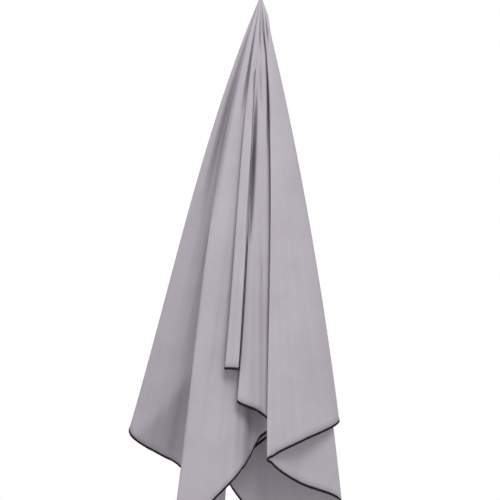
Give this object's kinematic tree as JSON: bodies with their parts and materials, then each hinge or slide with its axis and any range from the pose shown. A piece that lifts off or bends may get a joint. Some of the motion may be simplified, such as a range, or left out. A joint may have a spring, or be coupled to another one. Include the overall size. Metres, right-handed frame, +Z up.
{
  "type": "quick dry towel",
  "caption": "Thin microfibre travel towel with a black overlocked edge, hanging in long folds from a tape loop at the middle of one long side.",
  "frame": {"origin": "inside top of the loop, where a hook carries the tape", "axes": "+Z up, front face towards -Y, +X to the right seen from the front"},
  "size_m": [0.387, 0.2145, 1.1159],
  "materials": {
    "microfibre": "matte suede",
    "overlock_thread": "matte thread",
    "loop_tape": "woven tape",
    "tack_thread": "matte thread"
  },
  "bodies": {
    "loop": {"loop_tape": "loop_tape", "loop_bar_tack": "tack_thread"},
    "towel": {"towel_cloth": "microfibre", "hem_top_left": "overlock_thread", "hem_top_right": "overlock_thread", "hem_left_side": "overlock_thread", "hem_bottom": "overlock_thread", "hem_right_side": "overlock_thread"}
  },
  "joints": [
    {"name": "towel_swing", "type": "hinge", "parent": "loop", "child": "towel", "pos_m": [0, 0, -0.0546], "axis": [1, 0, 0], "range_deg": [-35, 35]}
  ]
}
